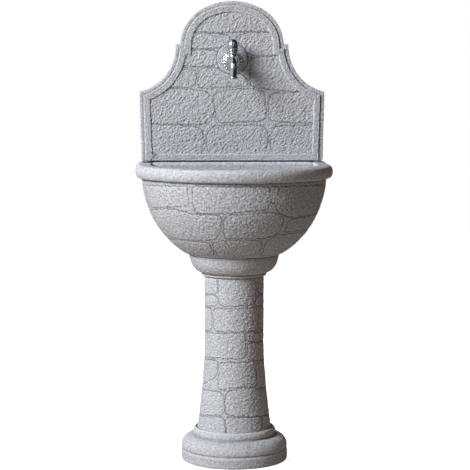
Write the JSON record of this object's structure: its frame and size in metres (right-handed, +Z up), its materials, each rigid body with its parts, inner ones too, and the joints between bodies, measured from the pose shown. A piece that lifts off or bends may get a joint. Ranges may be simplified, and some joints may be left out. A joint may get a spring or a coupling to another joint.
{
  "type": "drinking fountain",
  "caption": "Cast stone garden drinking fountain: arched back panel with a turn-knob tap over a D-shaped basin on a flared round pedestal.",
  "frame": {"origin": "on the floor, at the centre of the fountain's bounding box seen from above: 0.235 m in front of the wall, with the upright axis of the pedestal and the basin at y = +0.065", "axes": "+Z up, +Y towards the wall behind the fountain, so the front with the tap faces -Y, +X to the right of someone facing the front"},
  "size_m": [0.6, 0.47, 1.4],
  "materials": {
    "cast_stone": "matt, pale blue-grey, rough cast surface",
    "mortar": "matt, grey",
    "chromed_brass": "polished",
    "brass": "machined",
    "copper": "drawn copper tube",
    "stainless_steel": "plain",
    "rubber": "matt black",
    "white_plastic": "matt"
  },
  "bodies": {
    "fountain": {"back_panel": "cast_stone", "base_dowel_1": "stainless_steel", "base_dowel_2": "stainless_steel", "base_joint_mortar": "mortar", "basin": "cast_stone", "basin_dowel_1": "stainless_steel", "basin_dowel_2": "stainless_steel", "basin_joint_mortar": "mortar", "bonnet_seal": "rubber", "capital": "cast_stone", "capital_dowel_1": "stainless_steel", "capital_dowel_2": "stainless_steel", "capital_joint_mortar": "mortar", "coupling_nut": "white_plastic", "coupling_seal": "rubber", "elbow_nut": "brass", "elbow_screw_1": "stainless_steel", "elbow_screw_2": "stainless_steel", "gland_nut": "brass", "gland_packing": "rubber", "hanger_plate_1": "stainless_steel", "hanger_plate_2": "stainless_steel", "hanger_screw_1": "stainless_steel", "hanger_screw_2": "stainless_steel", "hanger_screw_3": "stainless_steel", "hanger_screw_4": "stainless_steel", "panel_dowel_1": "stainless_steel", "panel_dowel_2": "stainless_steel", "panel_joint_mortar": "mortar", "pedestal_base": "cast_stone", "pedestal_shaft": "cast_stone", "pipe_clip_1": "white_plastic", "pipe_clip_2": "white_plastic", "spout_nozzle": "chromed_brass", "strainer_screw": "stainless_steel", "supply_coupling": "brass", "supply_elbow": "brass", "supply_pipe": "copper", "tailpipe": "white_plastic", "tap_body": "chromed_brass", "tap_bonnet": "chromed_brass", "tap_rosette": "chromed_brass", "waste_backnut": "brass", "waste_body": "chromed_brass", "waste_seal_lower": "rubber", "waste_seal_upper": "rubber", "waste_strainer": "chromed_brass"},
    "valve": {"valve_jumper": "brass", "valve_washer": "rubber"},
    "handle": {"spindle": "brass", "handle_knob": "chromed_brass", "knob_screw": "stainless_steel", "knob_cap": "chromed_brass"}
  },
  "joints": [
    {"name": "valve_lift", "type": "slide", "parent": "fountain", "child": "valve", "axis": [0, 0, 1], "range_m": [0, 0.003]},
    {"name": "knob_turn", "type": "hinge", "parent": "valve", "child": "handle", "pos_m": [0, 0.141, 1.25], "axis": [0, 0, 1], "range_deg": [0, 540]}
  ],
  "couplings": [
    {"joint": "knob_turn", "follows": "valve_lift", "rad_per_m": 3141.6}
  ]
}
